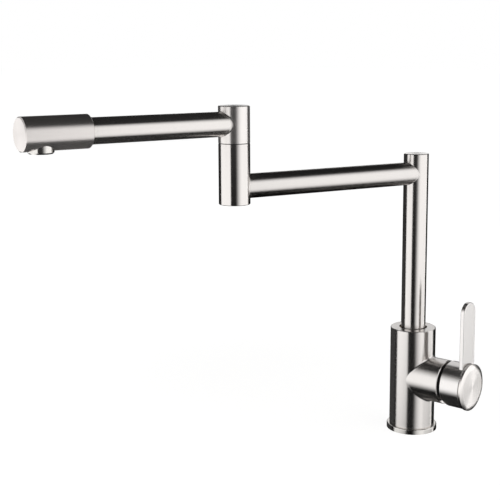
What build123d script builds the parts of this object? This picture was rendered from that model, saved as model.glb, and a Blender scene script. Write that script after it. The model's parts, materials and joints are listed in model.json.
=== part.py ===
from build123d import *
import math
import os

# Deck-mounted single-lever mixer tap with a double-jointed folding spout.
# Millimetres. Origin: centre of the base on the deck, +Z up, handle towards +X,
# spout towards -Y. Driving dimensions come first, each written once.

# Base and body
body_d = 45.0
body_top_z = 105.0
body_wall = 3.5
cavity_h = 23.0
base_lip = 2.6
base_ring_h = 5.0
base_rebate = 1.5
base_ring_wall = 4.5
gasket_w = 3.0
gasket_t = 1.6
rim_r = 1.0
edge_break = 0.5

# Supply inlets and fixing stud in the roof of the underside cavity
inlet_hole_r = 4.5
inlet_hole_depth = 12.0
inlet_hole_y = 7.0
stud_hole_r = 3.4
stud_hole_depth = 12.0
stud_hole_x = -11.0

# Valve branch and its cartridge, measured along +X from the body axis
valve_z = 55.0
stub_step = 0.8
stub_end_x = 40.2
stub_root_r = 2.0
seat_x = 10.0
cartridge_bore_d = 36.0
cartridge_base_t = 5.0
fixed_disc_r = 12.6
fixed_disc_t = 3.0
moving_disc_r = 10.0
moving_disc_t = 3.5
pocket_w = 13.0
pocket_h = 6.0
pocket_depth = 1.8
pocket_drop = 2.2
carrier_t = 4.0
inlet_port_r = 2.2
inlet_port_y = 5.0
inlet_port_up = 4.0
outlet_port_r = 2.6
outlet_port_down = 5.0
outlet_riser_r = 4.0
outlet_riser_x = -7.0
seal_section = 1.4
seal_t = 1.9
peg_r = 1.5
peg_len = 2.6
peg_y = 12.5
peg_up = 2.0
collar_r = 12.0
collar_neck_r = 9.9
collar_above_pivot = 2.5
neck_rise = 2.7
collar_cord_r = 0.75
rail_y = 7.0
rail_w = 1.6
rail_h = 1.4
rail_len = 14.0
housing_lip_t = 2.0
housing_shoulder_back = 6.7
housing_neck_r = 14.5
nut_t = 6.4
nut_slots = 4
nut_slot_w = 4.0
nut_slot_depth = 2.0
trim_ring_wall = 1.8
trim_ring_reach = 5.0

# Handle
tilt_deg = 18.0
stem_w = 8.0
stem_arm = 7.5
stem_ball_r = 2.5
stem_shank_r = 2.0
stem_hub_r = 4.2
stem_end_gap = 0.5
pin_r = 1.5
handle_gap = 3.4
handle_d = 44.2
handle_wall = 2.3
handle_end_wall = 4.1
handle_boss_r = 8.0
handle_boss_len = 13.0
cap_d = 45.8
cap_t = 3.5
cap_face_x = 68.0
cap_groove = 0.4
cap_pilot_r = 12.0
cap_pilot_t = 2.0
cap_roll_w = 5.0
cap_roll_t = 1.3
lever_top_z = 139.3
lever_w = 22.0
lever_t_root = 4.7
lever_t_top = 4.4
lever_set_back = 0.8
lever_edge_r = 0.8
set_screw_r = 2.5
set_screw_len = 6.0
set_screw_hex_r = 1.25
set_screw_hex_depth = 2.5

# Swivel at the foot of the upright
swivel_bore_d = 27.8
swivel_bore_depth = 26.0
spigot_slack = 0.3
spigot_bore_r = 7.5
spigot_drop = 4.0
spigot_neck_len = 14.0
glide_ring_w = 3.0
glide_ring_wall = 1.6
swivel_cord_r = 1.1
retain_groove_w = 3.6
retain_groove_depth = 2.5
retain_screw_r = 2.5
retain_tip_r = 1.4
retain_sink = 1.0
upper_glide_drop = 2.5
retain_drop = 7.0
swivel_ring_drops = (11.0, 14.5)
lower_glide_drop = 19.0

# Upright and arms
upright_d = 24.4
upright_wall = 1.5
upright_top_z = 280.0
plug_t = 3.0
arm_d = 22.3
arm_wall = 1.3
lower_arm_drop = 19.5
lower_arm_len = 202.5
lower_arm_swing = -20.8
upper_arm_swing = -16.2

# Elbow between the two arms
elbow_d = 28.4
elbow_wall = 2.0
elbow_below_arm = 15.5
elbow_lower_h = 54.5
elbow_upper_h = 32.8
upper_arm_rise = 16.8
washer_t = 0.6
washer_inset = 0.3
sleeve_wall = 1.9
sleeve_above_arm = 3.0
elbow_spigot_wall = 2.9
elbow_spigot_tail = 3.5
elbow_flange_t = 5.5
elbow_cord_r = 0.95
elbow_ring_drops = (8.0, 18.0)
circlip_t = 1.2
circlip_w = 2.3
circlip_gap = 4.0

# Outlet head and aerator
head_d = 28.2
head_len = 58.5
head_wall = 1.9
head_back_wall = 5.0
arm_insert = 12.0
head_cap_t = 3.0
head_cap_plug_t = 3.5
head_cap_chamfer = 0.9
upper_arm_reach = 199.5
nozzle_d = 21.2
nozzle_wall = 1.9
nozzle_back = 17.7
nozzle_below_axis = 16.1
nozzle_h = 10.0
nozzle_lip_w = 0.7
nozzle_lip_t = 1.0
nozzle_bevel = 1.2
aerator_h = 6.0
aerator_washer_t = 1.8
aerator_washer_w = 2.0
aerator_hole_r = 0.7
aerator_hole_pitch = 2.0
aerator_hole_rings = 3
mesh_t = 0.6
mesh_hole_r = 0.42
mesh_hole_pitch = 1.2
mesh_hole_rings = 5

# Clearances: fit = pressed or brazed, run = turning in a bore, lap = flat faces that slide
fit_gap = 0.05
run_gap = 0.1
lap_gap = 0.05
slide_gap = 0.2
tilt_gap = 0.6
housing_gap = 0.6
trim_gap = 1.0
circlip_clear = 0.6

# Derived: body
body_r = body_d / 2
stub_r = body_r - stub_step
body_z0 = base_ring_h - base_rebate
cavity_r = body_r - body_wall
cavity_z = body_z0 + cavity_h
inlet_top_z = cavity_z + inlet_hole_depth
base_ring_r = body_r + base_lip
base_bore_r = body_r - base_ring_wall
swivel_bore_r = swivel_bore_d / 2
swivel_z0 = body_top_z - swivel_bore_depth

# Derived: stations of the valve along +X
bore_r = cartridge_bore_d / 2
base_x = seat_x + slide_gap
fixed_x = base_x + cartridge_base_t
moving_x = fixed_x + fixed_disc_t + lap_gap
carrier_x = moving_x + moving_disc_t
collar_x = carrier_x + carrier_t + 2 * slide_gap
pivot_x = carrier_x + carrier_t + stem_arm - slide_gap
collar_top_x = pivot_x + collar_above_pivot
neck_top_x = collar_top_x + neck_rise
housing_lip_x = collar_top_x + slide_gap
housing_top_x = housing_lip_x + housing_lip_t
shoulder_x = housing_top_x - housing_shoulder_back
nut_x = shoulder_x + fit_gap
trim_x = nut_x + nut_t
housing_r = bore_r - housing_gap
disc_bore_r = fixed_disc_r + 2 * slide_gap
collar_bore_r = collar_r + slide_gap
inlet_port_z = valve_z + inlet_port_up
outlet_port_z = valve_z - outlet_port_down

# Derived: handle
handle_r = handle_d / 2
handle_x = stub_end_x + handle_gap
cap_x = cap_face_x - cap_t
handle_end_x = cap_x - cap_groove
handle_floor_x = handle_end_x - handle_end_wall
handle_bore_r = handle_r - handle_wall
boss_x = handle_floor_x - handle_boss_len
stem_end_x = handle_floor_x - stem_end_gap
lever_front_x = handle_end_x - lever_set_back
set_screw_x = (boss_x + handle_floor_x) / 2

# Derived: swivel, upright and arms
shoulder_z = body_top_z - spigot_drop
spigot_z0 = swivel_z0 + 2 * spigot_slack
spigot_r = swivel_bore_r - spigot_slack
runner_r = swivel_bore_r - run_gap
upright_r = upright_d / 2
upright_bore_r = upright_r - upright_wall
arm_r = arm_d / 2
arm_bore_r = arm_r - arm_wall
lower_arm_z = upright_top_z - lower_arm_drop
retain_z = shoulder_z - retain_drop

# Derived: elbow
elbow_r = elbow_d / 2
elbow_bore_r = elbow_r - elbow_wall
elbow_z0 = lower_arm_z - elbow_below_arm
elbow_seam_z = elbow_z0 + elbow_lower_h
elbow_upper_z = elbow_seam_z + washer_t + run_gap
elbow_top_z = elbow_upper_z + elbow_upper_h
upper_arm_z = elbow_upper_z + upper_arm_rise
sleeve_r = elbow_bore_r - fit_gap
sleeve_bore_r = sleeve_r - sleeve_wall
sleeve_z0 = lower_arm_z + arm_r + sleeve_above_arm
elbow_shaft_r = sleeve_bore_r - run_gap
elbow_water_r = elbow_shaft_r - elbow_spigot_wall
circlip_z = sleeve_z0 - slide_gap - circlip_t
elbow_spigot_z0 = sleeve_z0 - elbow_spigot_tail

# Derived: head
head_r = head_d / 2
head_bore_r = head_r - head_wall
head_back_y = upper_arm_reach - head_len
head_front_y = upper_arm_reach - head_cap_t
nozzle_r = nozzle_d / 2
nozzle_bore_r = nozzle_r - nozzle_wall
nozzle_y = upper_arm_reach - nozzle_back
nozzle_z0 = upper_arm_z - nozzle_below_axis
insert_z0 = nozzle_z0 + nozzle_lip_t
insert_r = nozzle_bore_r - fit_gap


def turned(profile):
    # Solid of revolution about Z from (radius, height) points.
    outline = Polyline(*[(r, 0, z) for r, z in profile], close=True)
    return revolve(make_face(outline), Axis.Z)


def round_rim(piece, z, radius):
    # Rounds the widest edge of a turned piece at height z.
    circles = piece.edges().filter_by(GeomType.CIRCLE)
    rims = circles.filter_by_position(Axis.Z, z - edge_break, z + edge_break)
    return fillet([max(rims, key=lambda rim: rim.radius)], radius)


def tube(outer_r, inner_r, z0, z1):
    return turned([(inner_r, z0), (outer_r, z0), (outer_r, z1), (inner_r, z1)])


def rod(r, z0, z1, x=0.0, y=0.0):
    return Pos(x, y, z0) * Cylinder(r, z1 - z0, align=(Align.CENTER, Align.CENTER, Align.MIN))


def on_valve(piece):
    # Turns a piece built along Z onto the valve axis, heights becoming distances along +X.
    return Pos(0, 0, valve_z) * Rot(0, 90, 0) * piece


def rod_x(r, x0, x1, y, z):
    return Pos(x0, y, z) * Rot(0, 90, 0) * rod(r, 0, x1 - x0)


def rod_y(r, y0, y1, x, z):
    return Pos(x, y0, z) * Rot(-90, 0, 0) * rod(r, 0, y1 - y0)


def on_arm(piece, z):
    # Lays a piece built along Z along -Y at height z, heights becoming distances out.
    return Pos(0, 0, z) * Rot(90, 0, 0) * piece


def in_lower_arm(piece):
    return Rot(0, 0, lower_arm_swing) * piece


def in_upper_arm(piece):
    swing = math.radians(lower_arm_swing)
    elbow_x = lower_arm_len * math.sin(swing)
    elbow_y = -lower_arm_len * math.cos(swing)
    return Pos(elbow_x, elbow_y, 0) * Rot(0, 0, upper_arm_swing) * piece


def cord_ring(outer_r, cord_r, z):
    return Pos(0, 0, z) * Torus(outer_r - cord_r, cord_r)


def groove(shaft_r, floor_r, width, z):
    return tube(2 * shaft_r, floor_r, z - width / 2, z + width / 2)


def cord_groove(shaft_r, outer_r, cord_r, z):
    # Groove for a sealing ring whose outside reaches outer_r.
    return groove(shaft_r, outer_r - 2 * cord_r - fit_gap, 2 * (cord_r + slide_gap), z)


def ring_pattern(pitch, rings):
    # Centre hole and rings of six, twelve, eighteen and so on around it.
    places = [(0.0, 0.0)]
    for ring in range(1, rings + 1):
        for step in range(6 * ring):
            turn = 2 * math.pi * step / (6 * ring)
            places.append((ring * pitch * math.cos(turn), ring * pitch * math.sin(turn)))
    return places


def ports(x0, x1, extra_r=0.0):
    # Two inlet ports above the valve axis and the mixed outlet below it.
    holes = [rod_x(inlet_port_r + extra_r, x0, x1, side * inlet_port_y, inlet_port_z) for side in (-1, 1)]
    holes.append(rod_x(outlet_port_r + extra_r, x0, x1, 0, outlet_port_z))
    return holes


def make_base_ring():
    groove_r = (base_ring_r + base_bore_r) / 2
    ring = turned([
        (base_bore_r, 0),
        (base_ring_r, 0),
        (base_ring_r, base_ring_h),
        (body_r + run_gap, base_ring_h),
        (body_r + run_gap, body_z0),
        (base_bore_r, body_z0),
    ])
    ring = round_rim(ring, base_ring_h, rim_r)
    return ring - tube(groove_r + gasket_w / 2, groove_r - gasket_w / 2, 0, gasket_t)


def make_base_gasket():
    groove_r = (base_ring_r + base_bore_r) / 2
    half = gasket_w / 2 - fit_gap
    return tube(groove_r + half, groove_r - half, 0, gasket_t)


def make_body_casting():
    barrel = turned([
        (0, body_z0),
        (body_r, body_z0),
        (body_r, body_top_z),
        (0, body_top_z),
    ])
    barrel = round_rim(barrel, body_top_z, rim_r)
    stub = on_valve(turned([
        (0, 0),
        (stub_r, 0),
        (stub_r, stub_end_x - edge_break),
        (stub_r - edge_break, stub_end_x),
        (0, stub_end_x),
    ]))
    body = barrel + stub
    root = [edge for edge in body.edges() if edge.geom_type == GeomType.BSPLINE]
    body = fillet(root, stub_root_r)
    body -= rod(swivel_bore_r, swivel_z0, body_top_z)
    body -= rod(cavity_r, body_z0, cavity_z)
    body -= rod_x(bore_r, seat_x, stub_end_x, 0, valve_z)
    body -= rod(outlet_riser_r, outlet_port_z - outlet_port_r, swivel_z0, outlet_riser_x)
    body -= rod_x(outlet_port_r, outlet_riser_x, seat_x, 0, outlet_port_z)
    for side in (-1, 1):
        body -= rod(inlet_hole_r, cavity_z, inlet_top_z, 0, side * inlet_hole_y)
        body -= rod(inlet_port_r, inlet_top_z, inlet_port_z + inlet_port_r, 0, side * inlet_port_y)
        body -= rod_x(inlet_port_r, 0, seat_x, side * inlet_port_y, inlet_port_z)
        body -= rod_x(peg_r + fit_gap, seat_x - peg_len, seat_x, side * peg_y, valve_z + peg_up)
    body -= rod(stud_hole_r, cavity_z, cavity_z + stud_hole_depth, stud_hole_x)
    body -= rod_y(retain_screw_r + fit_gap, 0, body_d, 0, retain_z)
    return body


def make_swivel_retaining_screw():
    outer_y = body_r - retain_sink
    tip_y = spigot_r - retain_groove_depth + slide_gap
    screw = rod_y(retain_screw_r, swivel_bore_r + slide_gap, outer_y, 0, retain_z)
    screw += rod_y(retain_tip_r, tip_y, outer_y, 0, retain_z)
    hexagon = extrude(RegularPolygon(retain_screw_r / 2, 6), retain_screw_r)
    return screw - Pos(0, outer_y, retain_z) * Rot(90, 0, 0) * hexagon


def make_port_seals():
    seals = []
    for outer, inner in zip(ports(seat_x + lap_gap, seat_x + seal_t, seal_section), ports(seat_x, fixed_x)):
        seals.append((outer - inner).solid())
    return Compound(children=seals)


def make_cartridge_base():
    base = rod_x(housing_r, base_x, fixed_x, 0, valve_z)
    for hole in ports(base_x, fixed_x):
        base -= hole
    for pocket in ports(base_x, seat_x + seal_t + fit_gap, seal_section + fit_gap):
        base -= pocket
    for side in (-1, 1):
        base += rod_x(peg_r, seat_x - peg_len + slide_gap, base_x, side * peg_y, valve_z + peg_up)
    return base


def make_fixed_disc():
    disc = rod_x(fixed_disc_r, fixed_x, fixed_x + fixed_disc_t, 0, valve_z)
    for hole in ports(fixed_x, fixed_x + fixed_disc_t):
        disc -= hole
    return disc


def make_moving_disc():
    disc = rod_x(moving_disc_r, moving_x, carrier_x, 0, valve_z)
    pocket = extrude(SlotOverall(pocket_w, pocket_h), pocket_depth)
    return disc - Pos(moving_x, 0, valve_z - pocket_drop) * Rot(90, 0, 90) * pocket


def make_disc_carrier():
    top_x = carrier_x + carrier_t
    carrier = rod_x(moving_disc_r, carrier_x, top_x, 0, valve_z)
    ball_low_x = pivot_x - stem_arm - stem_ball_r - slide_gap
    carrier -= rod_x(stem_ball_r + slide_gap, ball_low_x, top_x, 0, valve_z)
    for side in (-1, 1):
        keyway = Box(2 * rail_h, rail_w + 2 * slide_gap, 3 * moving_disc_r)
        carrier -= Pos(top_x, side * rail_y, valve_z) * keyway
    return carrier


def make_cartridge_housing():
    lip_r = collar_neck_r + slide_gap
    return on_valve(turned([
        (disc_bore_r, fixed_x),
        (housing_r, fixed_x),
        (housing_r, shoulder_x),
        (housing_neck_r, shoulder_x),
        (housing_neck_r, housing_top_x),
        (lip_r, housing_top_x),
        (lip_r, housing_lip_x),
        (collar_bore_r, housing_lip_x),
        (collar_bore_r, collar_x - slide_gap),
        (disc_bore_r, collar_x - slide_gap),
    ]))


def make_cartridge_nut():
    nut = on_valve(tube(bore_r - fit_gap, housing_neck_r + fit_gap, nut_x, nut_x + nut_t))
    for step in range(nut_slots):
        slot = Pos(trim_x, 0, bore_r) * Box(2 * nut_slot_depth, nut_slot_w, bore_r)
        nut -= Pos(0, 0, valve_z) * Rot(360 * step / nut_slots, 0, 0) * slot
    return nut


def make_trim_ring():
    outer_r = bore_r - trim_gap
    return on_valve(tube(outer_r, outer_r - trim_ring_wall, trim_x, stub_end_x + trim_ring_reach))


def collar_ring_x():
    return (housing_lip_x + housing_top_x) / 2


def make_valve_collar():
    body = turned([
        (0, collar_x),
        (collar_r, collar_x),
        (collar_r, collar_top_x),
        (collar_neck_r, collar_top_x),
        (collar_neck_r, neck_top_x),
        (0, neck_top_x),
    ])
    body -= cord_groove(collar_neck_r, collar_neck_r + run_gap, collar_cord_r, collar_ring_x())
    collar = on_valve(body)
    for side in (-1, 1):
        collar += Pos(collar_x - rail_h / 2, side * rail_y, valve_z) * Box(rail_h, rail_w, rail_len)
    tilt = math.radians(tilt_deg)
    slot_half = stem_w / 2 / math.cos(tilt) + (neck_top_x - pivot_x) * math.tan(tilt) + slide_gap
    slot = Box(4 * collar_r, stem_w + 2 * slide_gap, 2 * slot_half)
    collar -= Pos(pivot_x, 0, valve_z) * slot
    return collar - rod_y(pin_r + fit_gap, -2 * collar_r, 2 * collar_r, pivot_x, valve_z)


def make_collar_o_ring():
    return on_valve(cord_ring(collar_neck_r + run_gap, collar_cord_r, collar_ring_x()))


def make_stem_pin():
    half = collar_r - slide_gap
    return rod_y(pin_r, -half, half, pivot_x, valve_z)


def make_valve_stem():
    ball_x = pivot_x - stem_arm
    stem = Pos(ball_x, 0, valve_z) * Sphere(stem_ball_r)
    stem += rod_x(stem_shank_r, ball_x, pivot_x, 0, valve_z)
    stem += rod_y(stem_hub_r, -stem_w / 2, stem_w / 2, pivot_x, valve_z)
    bar_len = stem_end_x - pivot_x
    stem += Pos(pivot_x + bar_len / 2, 0, valve_z) * Box(bar_len, stem_w, stem_w)
    return stem - rod_y(pin_r + run_gap, -stem_w, stem_w, pivot_x, valve_z)


def make_lever_blade():
    # Flat blade with a full-round top, thicker at its root, its back face sloping.
    round_z = lever_top_z - lever_w / 2
    side = Polyline(
        (lever_front_x, 0, valve_z),
        (lever_front_x, 0, lever_top_z),
        (lever_front_x - lever_t_top, 0, lever_top_z),
        (lever_front_x - lever_t_root, 0, valve_z),
        close=True,
    )
    wedge = extrude(make_face(side), lever_w, both=True)
    straight = Box(4 * lever_t_root, lever_w, round_z - valve_z)
    outline = Pos(lever_front_x, 0, (valve_z + round_z) / 2) * straight
    outline += rod_x(lever_w / 2, lever_front_x - 2 * lever_t_root, lever_front_x + lever_t_root, 0, round_z)
    blade = wedge & outline
    rims = blade.faces().sort_by(Axis.X)[-1].edges() + blade.faces().sort_by(Axis.X)[0].edges()
    return fillet([rim for rim in rims if rim.center().Z > valve_z + lever_w / 4], lever_edge_r)


def make_handle_lever():
    barrel = on_valve(turned([
        (0, handle_x),
        (handle_r - edge_break, handle_x),
        (handle_r, handle_x + edge_break),
        (handle_r, handle_end_x - edge_break),
        (handle_r - edge_break, handle_end_x),
        (0, handle_end_x),
    ]))
    handle = barrel + make_lever_blade()
    handle -= rod_x(handle_bore_r, handle_x, handle_floor_x, 0, valve_z)
    handle += rod_x(handle_boss_r, boss_x, handle_floor_x, 0, valve_z)
    socket_w = stem_w + 2 * run_gap
    socket_len = handle_floor_x - boss_x
    handle -= Pos(boss_x + socket_len / 2, 0, valve_z) * Box(socket_len, socket_w, socket_w)
    handle -= rod_x(cap_pilot_r + fit_gap, handle_end_x - cap_pilot_t, handle_end_x, 0, valve_z)
    handle -= rod(set_screw_r + fit_gap, valve_z - handle_d, valve_z, set_screw_x)
    sweep = 2 * cap_face_x
    cut = Pos(stub_end_x + tilt_gap - pivot_x - sweep / 2, 0, 0) * Box(sweep, sweep, sweep)
    return handle - Pos(pivot_x, 0, valve_z) * Rot(0, -tilt_deg, 0) * cut


def make_handle_cap():
    # Disc whose face rolls off gently towards its rim.
    cap_r = cap_d / 2
    flat_end = (cap_r - cap_roll_w, 0, cap_face_x)
    rim = (cap_r, 0, cap_face_x - cap_roll_t)
    side = Polyline(
        flat_end,
        (0, 0, cap_face_x),
        (0, 0, handle_end_x - cap_pilot_t),
        (cap_pilot_r, 0, handle_end_x - cap_pilot_t),
        (cap_pilot_r, 0, cap_x),
        (cap_r - edge_break, 0, cap_x),
        (cap_r, 0, cap_x + edge_break),
        rim,
    )
    roll = TangentArc(flat_end, rim, tangent=(1, 0, 0))
    return on_valve(revolve(make_face(side.edges() + roll.edges()), Axis.Z))


def make_handle_set_screw():
    top_z = valve_z - stem_w / 2 - lap_gap
    screw = rod(set_screw_r, top_z - set_screw_len, top_z, set_screw_x)
    hexagon = extrude(RegularPolygon(set_screw_hex_r, 6), set_screw_hex_depth)
    return screw - Pos(set_screw_x, 0, top_z - set_screw_len) * hexagon


def make_swivel_spigot():
    spigot = turned([
        (spigot_bore_r, spigot_z0),
        (spigot_r, spigot_z0),
        (spigot_r, shoulder_z),
        (upright_bore_r - fit_gap, shoulder_z),
        (upright_bore_r - fit_gap, shoulder_z + spigot_neck_len),
        (spigot_bore_r, shoulder_z + spigot_neck_len),
    ])
    for drop in (upper_glide_drop, lower_glide_drop):
        spigot -= groove(spigot_r, runner_r - glide_ring_wall - fit_gap, glide_ring_w, shoulder_z - drop)
    for drop in swivel_ring_drops:
        spigot -= cord_groove(spigot_r, runner_r, swivel_cord_r, shoulder_z - drop)
    return spigot - groove(spigot_r, spigot_r - retain_groove_depth, retain_groove_w, retain_z)


def make_swivel_glide_rings():
    rings = []
    half = glide_ring_w / 2 - fit_gap
    for drop in (upper_glide_drop, lower_glide_drop):
        z = shoulder_z - drop
        rings.append(tube(runner_r, runner_r - glide_ring_wall, z - half, z + half).solid())
    return Compound(children=rings)


def make_swivel_o_rings():
    rings = [cord_ring(runner_r, swivel_cord_r, shoulder_z - drop) for drop in swivel_ring_drops]
    return Compound(children=rings)


def make_upright_tube():
    post = turned([
        (upright_bore_r, shoulder_z),
        (upright_r, shoulder_z),
        (upright_r, upright_top_z - edge_break),
        (upright_r - edge_break, upright_top_z),
        (upright_bore_r, upright_top_z),
    ])
    return post - on_arm(rod(arm_bore_r, 0, upright_d), lower_arm_z)


def make_upright_cap():
    return rod(upright_bore_r - fit_gap, upright_top_z - plug_t, upright_top_z)


def make_lower_arm_tube():
    arm = on_arm(tube(arm_r, arm_bore_r, 0, lower_arm_len), lower_arm_z)
    arm -= rod(upright_r + fit_gap, lower_arm_z - arm_d, lower_arm_z + arm_d)
    arm -= rod(elbow_r + fit_gap, lower_arm_z - arm_d, lower_arm_z + arm_d, 0, -lower_arm_len)
    return arm.solids().sort_by(SortBy.VOLUME)[-1]


def make_elbow_lower_housing():
    shell = turned([
        (elbow_bore_r, elbow_z0),
        (elbow_r - edge_break, elbow_z0),
        (elbow_r, elbow_z0 + edge_break),
        (elbow_r, elbow_seam_z),
        (elbow_bore_r, elbow_seam_z),
    ])
    return shell - rod_y(arm_bore_r, 0, elbow_d, 0, lower_arm_z)


def make_elbow_bottom_cap():
    return rod(elbow_bore_r - fit_gap, elbow_z0, elbow_z0 + plug_t)


def make_elbow_sleeve():
    return tube(sleeve_r, sleeve_bore_r, sleeve_z0, elbow_seam_z - slide_gap)


def make_elbow_glide_washer():
    return tube(elbow_r - washer_inset, sleeve_bore_r + slide_gap, elbow_seam_z, elbow_seam_z + washer_t)


def make_elbow_upper_housing():
    shell = turned([
        (elbow_bore_r, elbow_upper_z),
        (elbow_r, elbow_upper_z),
        (elbow_r, elbow_top_z - edge_break),
        (elbow_r - edge_break, elbow_top_z),
        (elbow_bore_r, elbow_top_z),
    ])
    return shell - on_arm(rod(arm_bore_r, 0, elbow_d), upper_arm_z)


def make_elbow_top_cap():
    return rod(elbow_bore_r - fit_gap, elbow_top_z - plug_t, elbow_top_z)


def make_elbow_spigot():
    spigot = turned([
        (elbow_water_r, elbow_spigot_z0),
        (elbow_shaft_r, elbow_spigot_z0),
        (elbow_shaft_r, elbow_upper_z),
        (elbow_bore_r - fit_gap, elbow_upper_z),
        (elbow_bore_r - fit_gap, elbow_upper_z + elbow_flange_t),
        (elbow_water_r, elbow_upper_z + elbow_flange_t),
    ])
    for drop in elbow_ring_drops:
        spigot -= cord_groove(elbow_shaft_r, elbow_shaft_r, elbow_cord_r, elbow_seam_z - drop)
    floor_r = elbow_bore_r - circlip_clear - circlip_w - fit_gap
    return spigot - groove(elbow_shaft_r, floor_r, circlip_t + 2 * fit_gap, circlip_z + circlip_t / 2)


def make_elbow_o_rings():
    rings = [cord_ring(elbow_shaft_r, elbow_cord_r, elbow_seam_z - drop) for drop in elbow_ring_drops]
    return Compound(children=rings)


def make_elbow_circlip():
    outer_r = elbow_bore_r - circlip_clear
    ring = tube(outer_r, outer_r - circlip_w, circlip_z, circlip_z + circlip_t)
    return ring - Pos(0, outer_r, circlip_z) * Box(circlip_gap, outer_r, 4 * circlip_t)


def make_upper_arm_tube():
    arm = on_arm(tube(arm_r, arm_bore_r, 0, head_back_y + arm_insert), upper_arm_z)
    arm -= rod(elbow_r + fit_gap, upper_arm_z - arm_d, upper_arm_z + arm_d)
    return arm.solids().sort_by(SortBy.VOLUME)[-1]


def make_outlet_head():
    shell = turned([
        (arm_r + fit_gap, head_back_y),
        (head_r - edge_break, head_back_y),
        (head_r, head_back_y + edge_break),
        (head_r, head_front_y),
        (head_bore_r, head_front_y),
        (head_bore_r, head_back_y + head_back_wall),
        (arm_r + fit_gap, head_back_y + head_back_wall),
    ])
    return on_arm(shell, upper_arm_z) - rod(nozzle_r + fit_gap, nozzle_z0, upper_arm_z, 0, -nozzle_y)


def make_head_end_cap():
    return on_arm(turned([
        (0, head_front_y - head_cap_plug_t),
        (head_bore_r - fit_gap, head_front_y - head_cap_plug_t),
        (head_bore_r - fit_gap, head_front_y),
        (head_r, head_front_y),
        (head_r, upper_arm_reach - head_cap_chamfer),
        (head_r - head_cap_chamfer, upper_arm_reach),
        (0, upper_arm_reach),
    ]), upper_arm_z)


def make_outlet_neck():
    neck = turned([
        (nozzle_bore_r - nozzle_lip_w, nozzle_z0),
        (nozzle_r - nozzle_bevel, nozzle_z0),
        (nozzle_r, nozzle_z0 + nozzle_bevel),
        (nozzle_r, nozzle_z0 + nozzle_h),
        (nozzle_bore_r, nozzle_z0 + nozzle_h),
        (nozzle_bore_r, insert_z0),
        (nozzle_bore_r - nozzle_lip_w, insert_z0),
    ])
    return Pos(0, -nozzle_y, 0) * neck


def make_aerator_insert():
    insert = rod(insert_r, insert_z0, insert_z0 + aerator_h)
    for x, y in ring_pattern(aerator_hole_pitch, aerator_hole_rings):
        insert -= rod(aerator_hole_r, insert_z0, insert_z0 + aerator_h, x, y)
    return Pos(0, -nozzle_y, 0) * insert


def make_aerator_mesh():
    mesh = rod(nozzle_bore_r - nozzle_lip_w - fit_gap, insert_z0 - mesh_t, insert_z0)
    for x, y in ring_pattern(mesh_hole_pitch, mesh_hole_rings):
        mesh -= rod(mesh_hole_r, insert_z0 - mesh_t, insert_z0, x, y)
    return Pos(0, -nozzle_y, 0) * mesh


def make_aerator_washer():
    z0 = insert_z0 + aerator_h
    return Pos(0, -nozzle_y, 0) * tube(insert_r, insert_r - aerator_washer_w, z0, z0 + aerator_washer_t)


mixer_makers = [
    make_base_ring, make_base_gasket, make_body_casting, make_swivel_retaining_screw, make_port_seals,
    make_cartridge_base, make_fixed_disc, make_cartridge_housing, make_cartridge_nut, make_trim_ring,
    make_valve_collar, make_collar_o_ring, make_stem_pin, make_moving_disc, make_disc_carrier,
    make_valve_stem, make_handle_lever, make_handle_cap, make_handle_set_screw,
]
upright_makers = [
    make_swivel_spigot, make_swivel_glide_rings, make_swivel_o_rings, make_upright_tube, make_upright_cap,
    make_lower_arm_tube,
]
lower_elbow_makers = [
    make_elbow_lower_housing, make_elbow_bottom_cap, make_elbow_sleeve, make_elbow_glide_washer,
]
upper_arm_makers = [
    make_elbow_upper_housing, make_elbow_top_cap, make_elbow_spigot, make_elbow_o_rings, make_elbow_circlip,
    make_upper_arm_tube, make_outlet_head, make_head_end_cap, make_outlet_neck, make_aerator_insert,
    make_aerator_mesh, make_aerator_washer,
]


def write_nodes(makers, place):
    for maker in makers:
        name = maker.__name__.removeprefix("make_")
        export_step(place(maker()), f"parts/{name}.step")


os.makedirs("parts", exist_ok=True)
write_nodes(mixer_makers, lambda piece: piece)
write_nodes(upright_makers, in_lower_arm)
write_nodes(lower_elbow_makers, lambda piece: in_lower_arm(Pos(0, -lower_arm_len, 0) * piece))
write_nodes(upper_arm_makers, in_upper_arm)
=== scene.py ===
import json
import math
import bpy
from mathutils import Euler, Matrix, Vector


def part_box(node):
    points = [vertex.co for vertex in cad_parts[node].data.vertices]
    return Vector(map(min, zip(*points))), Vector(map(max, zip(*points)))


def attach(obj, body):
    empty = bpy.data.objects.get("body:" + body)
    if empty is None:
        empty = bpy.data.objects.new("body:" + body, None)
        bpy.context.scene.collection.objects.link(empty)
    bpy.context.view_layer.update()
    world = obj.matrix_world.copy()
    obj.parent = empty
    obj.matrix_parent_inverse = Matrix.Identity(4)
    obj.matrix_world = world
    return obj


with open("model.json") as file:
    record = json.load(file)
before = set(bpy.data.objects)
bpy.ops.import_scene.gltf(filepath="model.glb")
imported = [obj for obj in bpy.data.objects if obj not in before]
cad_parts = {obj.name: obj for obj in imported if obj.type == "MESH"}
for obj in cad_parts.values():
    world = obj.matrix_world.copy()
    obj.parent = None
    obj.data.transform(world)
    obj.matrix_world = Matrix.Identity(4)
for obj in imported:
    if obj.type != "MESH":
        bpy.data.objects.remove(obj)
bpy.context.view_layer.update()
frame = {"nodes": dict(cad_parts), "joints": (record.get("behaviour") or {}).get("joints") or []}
nodes = frame["nodes"]
mmPerMetre = 1000
print("frame loaded:", len(nodes), "nodes")

# Places read from the frame, in metres
joints = {joint["name"]: joint for joint in frame["joints"]}
elbowPlace = Vector(joints["elbow_swivel"]["pos_m"])
valvePlace = Vector(joints["flow_tilt"]["pos_m"])


def middleOf(node):
    low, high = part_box(node)
    return (low + high) / 2


def halfWide(node, axis):
    low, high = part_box(node)
    return (getattr(high, axis) - getattr(low, axis)) / 2


def flatDirection(start, end):
    return Vector((end.x - start.x, end.y - start.y, 0)).normalized()


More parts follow.
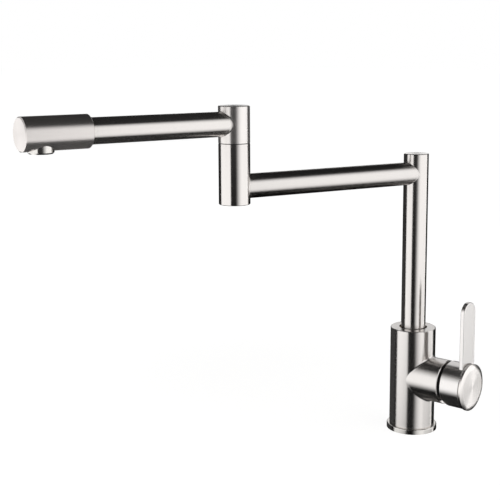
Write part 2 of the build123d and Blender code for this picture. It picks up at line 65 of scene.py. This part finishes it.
# Axes that the brushing goes round: a point and a direction
deckPoint = Vector((0, 0, 0))
upAxis = Vector((0, 0, 1))
bodyLine = (deckPoint, upAxis)
elbowLine = (elbowPlace, upAxis)
valveLine = (valvePlace, Vector((1, 0, 0)))
lowerArmLine = (middleOf("lower_arm_tube"), flatDirection(deckPoint, elbowPlace))
upperArmLine = (middleOf("upper_arm_tube"), flatDirection(elbowPlace, middleOf("head_end_cap")))

bodyRadius = -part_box("body_casting")[0].y
armRadius = halfWide("lower_arm_tube", "z")
elbowRadius = halfWide("elbow_lower_housing", "x")
uprightRadius = halfWide("upright_tube", "x")
barrelTop = valvePlace.z + halfWide("handle_cap", "y")


def linear(hexColour):
    # sRGB hex to the linear values the shader wants, by the standard curve
    channels = [int(hexColour[i:i + 2], 16) / 255 for i in (1, 3, 5)]
    return [c / 12.92 if c <= 0.04045 else ((c + 0.055) / 1.055) ** 2.4 for c in channels] + [1.0]


def addNode(tree, kind, inputs=None, **settings):
    # inputs are values or sockets of other nodes, by name, or by number where a name stands twice
    node = tree.nodes.new(kind)
    for name, value in settings.items():
        setattr(node, name, value)
    for key, value in (inputs or {}).items():
        if isinstance(value, bpy.types.NodeSocket):
            tree.links.new(value, node.inputs[key])
        else:
            node.inputs[key].default_value = value
    return node


def emptyMaterial(name):
    material = bpy.data.materials.new(name)
    material.use_nodes = True
    material.node_tree.nodes.clear()
    return material, material.node_tree


def newMaterial(name):
    material, tree = emptyMaterial(name)
    shader = addNode(tree, "ShaderNodeBsdfPrincipled")
    addNode(tree, "ShaderNodeOutputMaterial", {"Surface": shader.outputs[0]})
    return material, tree, shader


def addObject(name, data):
    added = bpy.data.objects.new(name, data)
    bpy.context.scene.collection.objects.link(added)
    return added


def dress(material, *nodeNames):
    for nodeName in nodeNames:
        nodes[nodeName].data.materials.clear()
        nodes[nodeName].data.materials.append(material)


# Camera, solved on the photograph's outlines: place in metres, angles in degrees
cameraLook = {
    "place": (0.539944, -0.885637, 0.382613),
    "azimuth": 40.4566,
    "down": 8.5044,
    "roll": -0.305,
    "focalPx": 1045.78,   # focal length in pixels of a frame framePx wide
    "framePx": 500,
    "sensorMm": 36,
    "shift": -0.09,
}


def makeCamera(look):
    data = bpy.data.cameras.new("photoCamera")
    data.sensor_width = look["sensorMm"]
    data.lens = look["focalPx"] / look["framePx"] * look["sensorMm"]
    data.shift_y = look["shift"]
    camera = addObject("photoCamera", data)
    aim = Euler((math.radians(90 - look["down"]), 0, math.radians(look["azimuth"])), "XYZ").to_matrix()
    turn = aim @ Matrix.Rotation(math.radians(look["roll"]), 3, "Z")
    camera.matrix_world = Matrix.Translation(look["place"]) @ turn.to_4x4()
    bpy.context.scene.camera = camera


makeCamera(cameraLook)
print("camera placed")

# Softboxes: a corner and two edges in metres, lit only on the side they face. Their light fades out over
# shares of the edges: at the start and end of the first, then at the start and end of the second.
# The left and right ones give the tubes their bright bands, and the gaps between them the black edges.
softboxes = {
    "leftSoftbox": {"corner": (0.15, -0.95, -0.5), "along": (-0.61, 0.63, 0), "up": (0, 0, 1.3),
                    "power": 1.36, "fade": (0.14, 0.04, 0.34, 0.46)},
    "rightSoftbox": {"corner": (0.65, 1.1, -0.7), "along": (0, -1.9, 0), "up": (0, 0, 1.93),
                     "power": 1.36, "fade": (0.05, 0.37, 0.39, 0.34)},
    "rightFootPanel": {"corner": (0.66, 0, -0.6), "along": (0, -0.95, 0), "up": (0, 0, 0.58),
                       "power": 0.9, "fade": (0.01, 0.99, 0.1, 0.15)},
    "rightBackPanel": {"corner": (0.64, 1.18, -0.8), "along": (0, -0.4, 0), "up": (0, 0, 1.1),
                       "power": 1.95, "fade": (0.07, 0.5, 0.1, 0.2)},
    "backCloth": {"corner": (-1.6, 1.2, 0.25), "along": (1.15, 0, 0), "up": (0, 0, 0.55),
                  "power": 1.0, "fade": (0.1, 0.1, 0.1, 0.1)},
    "overheadCard": {"corner": (0.12, 0.04, 0.22), "along": (-0.47, 0, 0), "up": (0, 0.5, 0),
                     "power": 0.82, "fade": (0.1, 0.1, 0.1, 0.1), "lightsFloor": False},
    "leftWall": {"corner": (-0.8, -0.35, -0.6), "along": (0, 1.25, 0), "up": (0, 0, 0.7),
                 "power": 0.05, "fade": (0.1, 0.1, 0.1, 0.1)},
}


def makeSoftbox(name, look):
    mesh = bpy.data.meshes.new(name)
    corner, along, up = [Vector(look[key]) for key in ("corner", "along", "up")]
    mesh.from_pydata([corner, corner + along, corner + along + up, corner + up], [], [(0, 1, 2, 3)])
    mesh.uv_layers.new()
    box = addObject(name, mesh)
    material, tree = emptyMaterial(name)
    split = addNode(tree, "ShaderNodeSeparateXYZ", {0: addNode(tree, "ShaderNodeTexCoord").outputs["UV"]})
    behind = addNode(tree, "ShaderNodeNewGeometry").outputs["Backfacing"]
    share = addNode(tree, "ShaderNodeMath", {0: 1.0, 1: behind}, operation="SUBTRACT").outputs[0]
    start, end, bottom, top = look["fade"]
    for axis, near, far in ((0, start, end), (1, bottom, top)):
        rise = addNode(tree, "ShaderNodeMapRange", {
            "Value": split.outputs[axis], "From Min": 0.0, "From Max": near, "To Max": share,
        }, interpolation_type="SMOOTHSTEP")
        fall = addNode(tree, "ShaderNodeMapRange", {
            "Value": split.outputs[axis], "From Min": 1 - far, "From Max": 1.0,
            "To Min": rise.outputs[0], "To Max": 0.0,
        }, interpolation_type="SMOOTHSTEP")
        share = fall.outputs[0]
    glow = addNode(tree, "ShaderNodeEmission", {"Strength": look["power"]})
    clear = addNode(tree, "ShaderNodeBsdfTransparent")
    faded = addNode(tree, "ShaderNodeMixShader", {0: share, 1: clear.outputs[0], 2: glow.outputs[0]})
    addNode(tree, "ShaderNodeOutputMaterial", {"Surface": faded.outputs[0]})
    mesh.materials.append(material)
    box.visible_camera = False
    box.visible_diffuse = look.get("lightsFloor", True)   # the card is only mirrored in the steel


# Dim room by height: dark below, a grey band at the horizon, a dark ceiling; white behind for the camera
roomLook = {"below": 0.003, "horizon": 0.10, "ceiling": 0.018, "dark": -0.12, "light": -0.06, "top": 0.6}


def makeRoom(look):
    world = bpy.data.worlds.new("studio")
    bpy.context.scene.world = world
    world.use_nodes = True
    tree = world.node_tree
    tree.nodes.clear()
    place = addNode(tree, "ShaderNodeTexCoord").outputs["Generated"]
    height = addNode(tree, "ShaderNodeSeparateXYZ", {0: place}).outputs[2]
    upper = addNode(tree, "ShaderNodeMapRange", {
        "Value": height, "From Min": look["light"], "From Max": look["top"],
        "To Min": look["horizon"], "To Max": look["ceiling"],
    }, interpolation_type="SMOOTHSTEP").outputs[0]
    room = addNode(tree, "ShaderNodeMapRange", {
        "Value": height, "From Min": look["dark"], "From Max": look["light"],
        "To Min": look["below"], "To Max": upper,
    }, interpolation_type="SMOOTHSTEP").outputs[0]
    dim = addNode(tree, "ShaderNodeBackground", {"Strength": room})
    white = addNode(tree, "ShaderNodeBackground", {"Color": linear("#ffffff"), "Strength": 1.0})
    seen = addNode(tree, "ShaderNodeLightPath").outputs["Is Camera Ray"]
    mix = addNode(tree, "ShaderNodeMixShader", {0: seen, 1: dim.outputs[0], 2: white.outputs[0]})
    addNode(tree, "ShaderNodeOutputWorld", {"Surface": mix.outputs[0]})


for softboxName, softboxLook in softboxes.items():
    makeSoftbox(softboxName, softboxLook)
makeRoom(roomLook)
bpy.context.scene.view_settings.view_transform = "Standard"

# Painted board, white and matt: lifted by its own glow so that only a soft contact shadow is left.
# The lift grows from near to far, in metres from the body.
floorLook = {"size": 30.0, "colour": "#9a9a98", "roughness": 0.9, "glow": "#ffffff",
             "liftNear": 0.9, "liftFar": 1.0, "near": 0.2, "far": 0.7}


def makeFloor(look):
    mesh = bpy.data.meshes.new("floor")
    half = look["size"] / 2
    corners = [(-half, -half, 0), (half, -half, 0), (half, half, 0), (-half, half, 0)]
    mesh.from_pydata(corners, [], [(0, 1, 2, 3)])
    floor = addObject("floor", mesh)
    material, tree, shader = newMaterial("paintedBoard")
    place = addNode(tree, "ShaderNodeTexCoord").outputs["Object"]
    away = addNode(tree, "ShaderNodeVectorMath", {0: place}, operation="LENGTH").outputs["Value"]
    lift = addNode(tree, "ShaderNodeMapRange", {
        "Value": away, "From Min": look["near"], "From Max": look["far"],
        "To Min": look["liftNear"], "To Max": look["liftFar"],
    }, interpolation_type="SMOOTHSTEP").outputs[0]
    shader.inputs["Base Color"].default_value = linear(look["colour"])
    shader.inputs["Roughness"].default_value = look["roughness"]
    shader.inputs["Emission Color"].default_value = linear(look["glow"])
    tree.links.new(lift, shader.inputs["Emission Strength"])
    mesh.materials.append(material)
    floor.visible_glossy = False   # the board isn't mirrored in the steel


makeFloor(floorLook)
print("studio lit")

# Stainless steel, brushed round each tube: faint lines round it, reflections drawn out along it.
# Real brush lines are about 0.1 mm apart, too fine to show, so lineMm is drawn coarser.
# haze is the milky share that a satin belt leaves; blurTurn is a quarter turn, from round to along.
brushedSteel = {
    "colour": "#dad6d3", "shade": 0.05, "haze": 0.0,
    "roughness": 0.23, "spread": 0.03, "anisotropy": 0.75, "blurTurn": 0.25,
    "lineMm": 0.7, "streakMm": 30, "meanRadiusMm": 20, "detail": 2.0, "bump": 0.02, "bumpMm": 0.1,
}
noiseSpan = (0.3, 0.7)   # where most of a noise's values lie


def grainFinish(tree, shader, grain, dark, light, look):
    # tint, roughness and relief that all follow one grain
    tint = addNode(tree, "ShaderNodeMix", {0: grain, 6: dark, 7: light}, data_type="RGBA").outputs[2]
    rough = addNode(tree, "ShaderNodeMapRange", {
        "Value": grain, "From Min": noiseSpan[0], "From Max": noiseSpan[1],
        "To Min": look["roughness"] - look["spread"], "To Max": look["roughness"] + look["spread"],
    }).outputs[0]
    bump = addNode(tree, "ShaderNodeBump", {
        "Strength": look["bump"], "Distance": look["bumpMm"] / mmPerMetre, "Height": grain,
    }).outputs[0]
    tree.links.new(tint, shader.inputs["Base Color"])
    tree.links.new(rough, shader.inputs["Roughness"])
    tree.links.new(bump, shader.inputs["Normal"])


def roundAxis(tree, place, line):
    # direction of the brush lines round an axis, in the piece's own space
    point, way = line
    offset = addNode(tree, "ShaderNodeVectorMath", {0: place, 1: point}, operation="SUBTRACT").outputs[0]
    return addNode(tree, "ShaderNodeVectorMath", {0: way, 1: offset}, operation="CROSS_PRODUCT").outputs[0]


def brushLines(tree, place, line, look):
    # noise squeezed along the axis and, on end faces, along the radius, so that its streaks run round
    point, way = line
    offset = addNode(tree, "ShaderNodeVectorMath", {0: place, 1: point}, operation="SUBTRACT").outputs[0]
    along = addNode(tree, "ShaderNodeVectorMath", {0: offset, 1: way}, operation="DOT_PRODUCT")
    flat = addNode(tree, "ShaderNodeVectorMath", {0: offset, 1: way}, operation="CROSS_PRODUCT").outputs[0]
    radius = addNode(tree, "ShaderNodeVectorMath", {0: flat}, operation="LENGTH")
    around = addNode(tree, "ShaderNodeVectorMath", {0: flat}, operation="NORMALIZE").outputs[0]
    streaks = look["meanRadiusMm"] / look["streakMm"]
    drawn = addNode(tree, "ShaderNodeVectorMath", {0: around, "Scale": streaks}, operation="SCALE").outputs[0]
    stack = addNode(tree, "ShaderNodeMath", {0: along.outputs["Value"], 1: radius.outputs["Value"]},
                    operation="ADD").outputs[0]
    level = addNode(tree, "ShaderNodeMath", {0: stack, 1: mmPerMetre / look["lineMm"]},
                    operation="MULTIPLY").outputs[0]
    return addNode(tree, "ShaderNodeTexNoise", {
        "Vector": drawn, "W": level, "Scale": 1.0, "Detail": look["detail"],
    }, noise_dimensions="4D").outputs["Fac"]


def finishSteel(tree, shader, grain, turn, look):
    light = linear(look["colour"])
    dark = [c * (1 - look["shade"]) for c in light[:3]] + [1.0]
    grainFinish(tree, shader, grain, dark, light, look)
    tangent = addNode(tree, "ShaderNodeVectorTransform", {0: turn}, vector_type="VECTOR",
                      convert_from="OBJECT", convert_to="WORLD").outputs[0]
    tree.links.new(tangent, shader.inputs["Tangent"])
    shader.inputs["Metallic"].default_value = 1 - look["haze"]
    shader.inputs["Anisotropic"].default_value = look["anisotropy"]
    shader.inputs["Anisotropic Rotation"].default_value = look["blurTurn"]


def steelRound(name, line, look):
    material, tree, shader = newMaterial(name)
    place = addNode(tree, "ShaderNodeTexCoord").outputs["Object"]
    finishSteel(tree, shader, brushLines(tree, place, line, look), roundAxis(tree, place, line), look)
    return material


# Body: the branch has lines of its own, which take over between these heights above the body's wall
bodySteel = dict(brushedSteel, haze=0.012, branchFromMm=0.2, branchToMm=1.5)


def steelBody(name, look):
    # lines round the upright body, and round the valve branch where it stands out of it
    material, tree, shader = newMaterial(name)
    place = addNode(tree, "ShaderNodeTexCoord").outputs["Object"]
    split = addNode(tree, "ShaderNodeSeparateXYZ", {0: place})
    flat = addNode(tree, "ShaderNodeCombineXYZ", {0: split.outputs[0], 1: split.outputs[1]}).outputs[0]
    away = addNode(tree, "ShaderNodeVectorMath", {0: flat}, operation="LENGTH").outputs["Value"]
    branch = addNode(tree, "ShaderNodeMapRange", {
        "Value": away,
        "From Min": bodyRadius + look["branchFromMm"] / mmPerMetre,
        "From Max": bodyRadius + look["branchToMm"] / mmPerMetre,
    }).outputs[0]
    grain = addNode(tree, "ShaderNodeMix", {
        0: branch, 2: brushLines(tree, place, bodyLine, look), 3: brushLines(tree, place, valveLine, look),
    }).outputs[0]
    turn = addNode(tree, "ShaderNodeMix", {
        0: branch, 4: roundAxis(tree, place, bodyLine), 5: roundAxis(tree, place, valveLine),
    }, data_type="VECTOR").outputs[1]
    finishSteel(tree, shader, grain, turn, look)
    return material


# Handle: the blade's lines take over from the barrel's within rootMm of the barrel's top
# Its lighter colour is painted light: a brighter copy of the steel's colour that makes the lever look more
# brightly lit.
leverSteel = dict(brushedSteel, colour="#e2dfdd", haze=0.02, rootMm=0.5)


def steelLever(name, look):
    # lines round the barrel, and up the blade
    material, tree, shader = newMaterial(name)
    place = addNode(tree, "ShaderNodeTexCoord").outputs["Object"]
    height = addNode(tree, "ShaderNodeSeparateXYZ", {0: place}).outputs[2]
    root = look["rootMm"] / mmPerMetre
    blade = addNode(tree, "ShaderNodeMapRange", {
        "Value": height, "From Min": barrelTop - root, "From Max": barrelTop + root,
    }).outputs[0]
    fine = mmPerMetre / look["lineMm"]
    coarse = mmPerMetre / look["streakMm"]
    drawn = addNode(tree, "ShaderNodeVectorMath", {0: place, 1: (fine, fine, coarse)}, operation="MULTIPLY")
    upLines = addNode(tree, "ShaderNodeTexNoise", {
        "Vector": drawn.outputs[0], "Scale": 1.0, "Detail": look["detail"],
    }).outputs["Fac"]
    grain = addNode(tree, "ShaderNodeMix", {
        0: blade, 2: brushLines(tree, place, valveLine, look), 3: upLines,
    }).outputs[0]
    turn = addNode(tree, "ShaderNodeMix", {
        0: blade, 4: roundAxis(tree, place, valveLine), 5: upAxis,
    }, data_type="VECTOR").outputs[1]
    finishSteel(tree, shader, grain, turn, look)
    return material


# How the other pieces' brushing differs from the common one, in roughness, haze and anisotropy. The lighter
# colours of the upper elbow, head and cap are painted light, not brushing: brighter copies of the steel's
# colour that make these pieces look more brightly lit.
lowerElbowSteel = dict(brushedSteel, roughness=0.19)
upperElbowSteel = dict(brushedSteel, colour="#e6e2df", roughness=0.3, haze=0.06)
lowerArmSteel = dict(brushedSteel, roughness=0.31)
upperArmSteel = dict(brushedSteel, haze=0.03)
headSteel = dict(brushedSteel, colour="#e0dbd8", roughness=0.31, anisotropy=0.6, haze=0.07)
capSteel = dict(brushedSteel, colour="#e6e2df", roughness=0.25, anisotropy=0.75)

dress(steelBody("brushedStainlessBody", bodySteel), "body_casting")
dress(steelRound("brushedStainlessUpright", bodyLine, brushedSteel), "upright_tube", "upright_cap")
dress(steelRound("brushedStainlessLowerElbow", elbowLine, lowerElbowSteel),
      "elbow_lower_housing", "elbow_bottom_cap")
dress(steelRound("brushedStainlessUpperElbow", elbowLine, upperElbowSteel),
      "elbow_upper_housing", "elbow_top_cap")
dress(steelRound("brushedStainlessLowerArm", lowerArmLine, lowerArmSteel), "lower_arm_tube")
dress(steelRound("brushedStainlessUpperArm", upperArmLine, upperArmSteel), "upper_arm_tube")
dress(steelRound("brushedStainlessHead", upperArmLine, headSteel), "outlet_head", "head_end_cap")
dress(steelLever("brushedStainlessLever", leverSteel), "handle_lever")
dress(steelRound("brushedStainlessCap", valveLine, capSteel), "handle_cap")
print("brushed steel dressed")

# Weld fillets where the arms meet the posts, ground smooth and concave. A leg is how far a fillet runs out
# on each of the two surfaces at the arm's sides. It narrows to thinLegMm above and below the arm, the faster
# the higher narrowing is. sinkMm is how far its back is in the metal, and sideShare how far round the post
# it may go; leastSide only keeps that sum from a division by nothing.
weldLook = {
    "upperElbowLegMm": 1.5, "lowerElbowLegMm": 0.6, "postLegMm": 0.4, "thinLegMm": 0.3, "narrowing": 4,
    "sinkMm": 0.4, "sideShare": 0.985, "leastSide": 0.001, "turns": 128, "steps": 7,
}
weldSteel = dict(brushedSteel, roughness=0.25, anisotropy=0.4)


def ringMesh(name, sections, material, body):
    # closed ring through cross-sections that each go once round the fillet
    count, size = len(sections), len(sections[0])
    points = [point for section in sections for point in section]
    faces = []
    for i in range(count):
        following = (i + 1) % count
        for j in range(size):
            beside = (j + 1) % size
            faces.append((i * size + j, i * size + beside, following * size + beside, following * size + j))
    mesh = bpy.data.meshes.new(name)
    mesh.from_pydata(points, [], faces)
    mesh.polygons.foreach_set("use_smooth", [True] * len(faces))
    mesh.materials.append(material)
    piece = addObject(name, mesh)
    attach(piece, body)


def concave(first, corner, last, back, steps):
    # curve from one surface to the other, hollow towards the corner, closed by a point in the metal
    curve = []
    for i in range(steps + 1):
        s = i / steps
        curve.append(first * (1 - s) ** 2 + corner * 2 * s * (1 - s) + last * s ** 2)
    return curve + [back]


def weldArm(name, post, direction, postRadius, legMm, body, look):
    # post is the point of its axis at the arm's height, direction the arm's way out of it
    sink = look["sinkMm"] / mmPerMetre
    across = upAxis.cross(direction)
    sections = []
    for i in range(look["turns"]):
        turn = 2 * math.pi * i / look["turns"]
        side = math.cos(turn)
        out = across * side + upAxis * math.sin(turn)
        leg = (look["thinLegMm"] + (legMm - look["thinLegMm"]) * side ** look["narrowing"]) / mmPerMetre
        widest = look["sideShare"] * postRadius / max(abs(side), look["leastSide"])
        reach = (armRadius, min(armRadius + leg, widest))
        corner, edge = [post + out * radius + direction * math.sqrt(postRadius ** 2 - (radius * side) ** 2)
                        for radius in reach]   # both on the post's wall
        back = corner - (direction + out) * sink
        sections.append(concave(corner + direction * leg, corner, edge, back, look["steps"]))
    ringMesh(name, sections, steelRound(name + "Stainless", (post, direction), weldSteel), body)


lowerArmHeight = upAxis * lowerArmLine[0].z
upperArmHeight = upAxis * upperArmLine[0].z
elbowFoot = Vector((elbowPlace.x, elbowPlace.y, 0))
weldArm("upperArmWeld", elbowFoot + upperArmHeight, upperArmLine[1], elbowRadius,
        weldLook["upperElbowLegMm"], "upper_arm", weldLook)
weldArm("lowerArmElbowWeld", elbowFoot + lowerArmHeight, -lowerArmLine[1], elbowRadius,
        weldLook["lowerElbowLegMm"], "lower_arm", weldLook)
weldArm("lowerArmPostWeld", lowerArmHeight, lowerArmLine[1], uprightRadius,
        weldLook["postLegMm"], "lower_arm", weldLook)
print("arms welded")

# Stainless steel, buffed to a mirror: sharp reflections, broken only by faint wiping marks
polishedSteel = {"colour": "#d8d5d1", "roughness": 0.17, "spread": 0.03, "wipeMm": 9, "detail": 3.0}


def steelPolished(name, look):
    material, tree, shader = newMaterial(name)
    place = addNode(tree, "ShaderNodeTexCoord").outputs["Object"]
    wipe = addNode(tree, "ShaderNodeTexNoise", {
        "Vector": place, "Scale": mmPerMetre / look["wipeMm"], "Detail": look["detail"],
    }).outputs["Fac"]
    rough = addNode(tree, "ShaderNodeMapRange", {
        "Value": wipe, "From Min": noiseSpan[0], "From Max": noiseSpan[1],
        "To Min": look["roughness"] - look["spread"], "To Max": look["roughness"] + look["spread"],
    }).outputs[0]
    tree.links.new(rough, shader.inputs["Roughness"])
    shader.inputs["Base Color"].default_value = linear(look["colour"])
    shader.inputs["Metallic"].default_value = 1.0
    return material


dress(steelPolished("polishedStainless", polishedSteel), "base_ring", "outlet_neck")
print("polished steel dressed")

# Inner and small pieces: one plain finish each, with the marks of how it was made. The real marks are
# a tenth of a millimetre or less, too fine to show, so grainMm is drawn coarser.
plainPiece = {"metallic": 0.0, "spread": 0.06, "bump": 0.06, "bumpMm": 0.2, "stretch": (1, 1, 1),
              "grainMm": 0.9, "detail": 4.0}

# Brass, turned and gone dull in the damp: brown more than gold, with tool marks that run round
brass = dict(plainPiece, name="dulledBrass", light="#85693b", dark="#644c26", metallic=1.0,
             roughness=0.45, bump=0.05, stretch=(1, 1, 8), grainMm=3.0)
# Steel, turned and left as it came off the lathe: plain grey with a soft gleam
plainSteel = dict(plainPiece, name="turnedSteel", light="#bab7b2", dark="#9c9893", metallic=1.0,
                  roughness=0.35, bump=0.05, grainMm=0.8)
# Nitrile rubber, moulded: black and matt, with a slight bloom
rubber = dict(plainPiece, name="mouldedNitrileRubber", light="#262626", dark="#171717",
              roughness=0.72, spread=0.08, bump=0.15, grainMm=0.6)
# Acetal, moulded: smooth and slippery, with a low waxy gloss
darkAcetal = dict(plainPiece, name="mouldedBlackAcetal", light="#2a2a2b", dark="#1b1b1c", roughness=0.42)
greyAcetal = dict(plainPiece, name="mouldedGreyAcetal", light="#a2a4a6", dark="#8b8d90", roughness=0.48)
# Alumina, fired and lapped flat: cream white, with a face that is nearly a mirror
alumina = dict(plainPiece, name="lappedAlumina", light="#f0ebe0", dark="#e2dccd",
               roughness=0.18, spread=0.05, bump=0.02, grainMm=0.5)


def plainFinish(look):
    material, tree, shader = newMaterial(look["name"])
    place = addNode(tree, "ShaderNodeTexCoord").outputs["Object"]
    scale = [mmPerMetre / look["grainMm"] * part for part in look["stretch"]]
    drawn = addNode(tree, "ShaderNodeVectorMath", {0: place, 1: scale}, operation="MULTIPLY").outputs[0]
    grain = addNode(tree, "ShaderNodeTexNoise", {
        "Vector": drawn, "Scale": 1.0, "Detail": look["detail"],
    }).outputs["Fac"]
    grainFinish(tree, shader, grain, linear(look["dark"]), linear(look["light"]), look)
    shader.inputs["Metallic"].default_value = look["metallic"]
    return material


dress(plainFinish(brass), "swivel_spigot", "elbow_sleeve", "elbow_spigot", "cartridge_nut")
dress(plainFinish(plainSteel), "swivel_retaining_screw", "elbow_circlip", "stem_pin", "valve_stem",
      "handle_set_screw", "aerator_mesh")
dress(plainFinish(rubber), "base_gasket", "swivel_o_rings", "elbow_o_rings", "port_seals", "collar_o_ring",
      "aerator_washer")
dress(plainFinish(darkAcetal), "swivel_glide_rings", "elbow_glide_washer", "trim_ring")
dress(plainFinish(greyAcetal), "cartridge_base", "cartridge_housing", "valve_collar", "disc_carrier",
      "aerator_insert")
dress(plainFinish(alumina), "fixed_disc", "moving_disc")
print("inner pieces dressed")
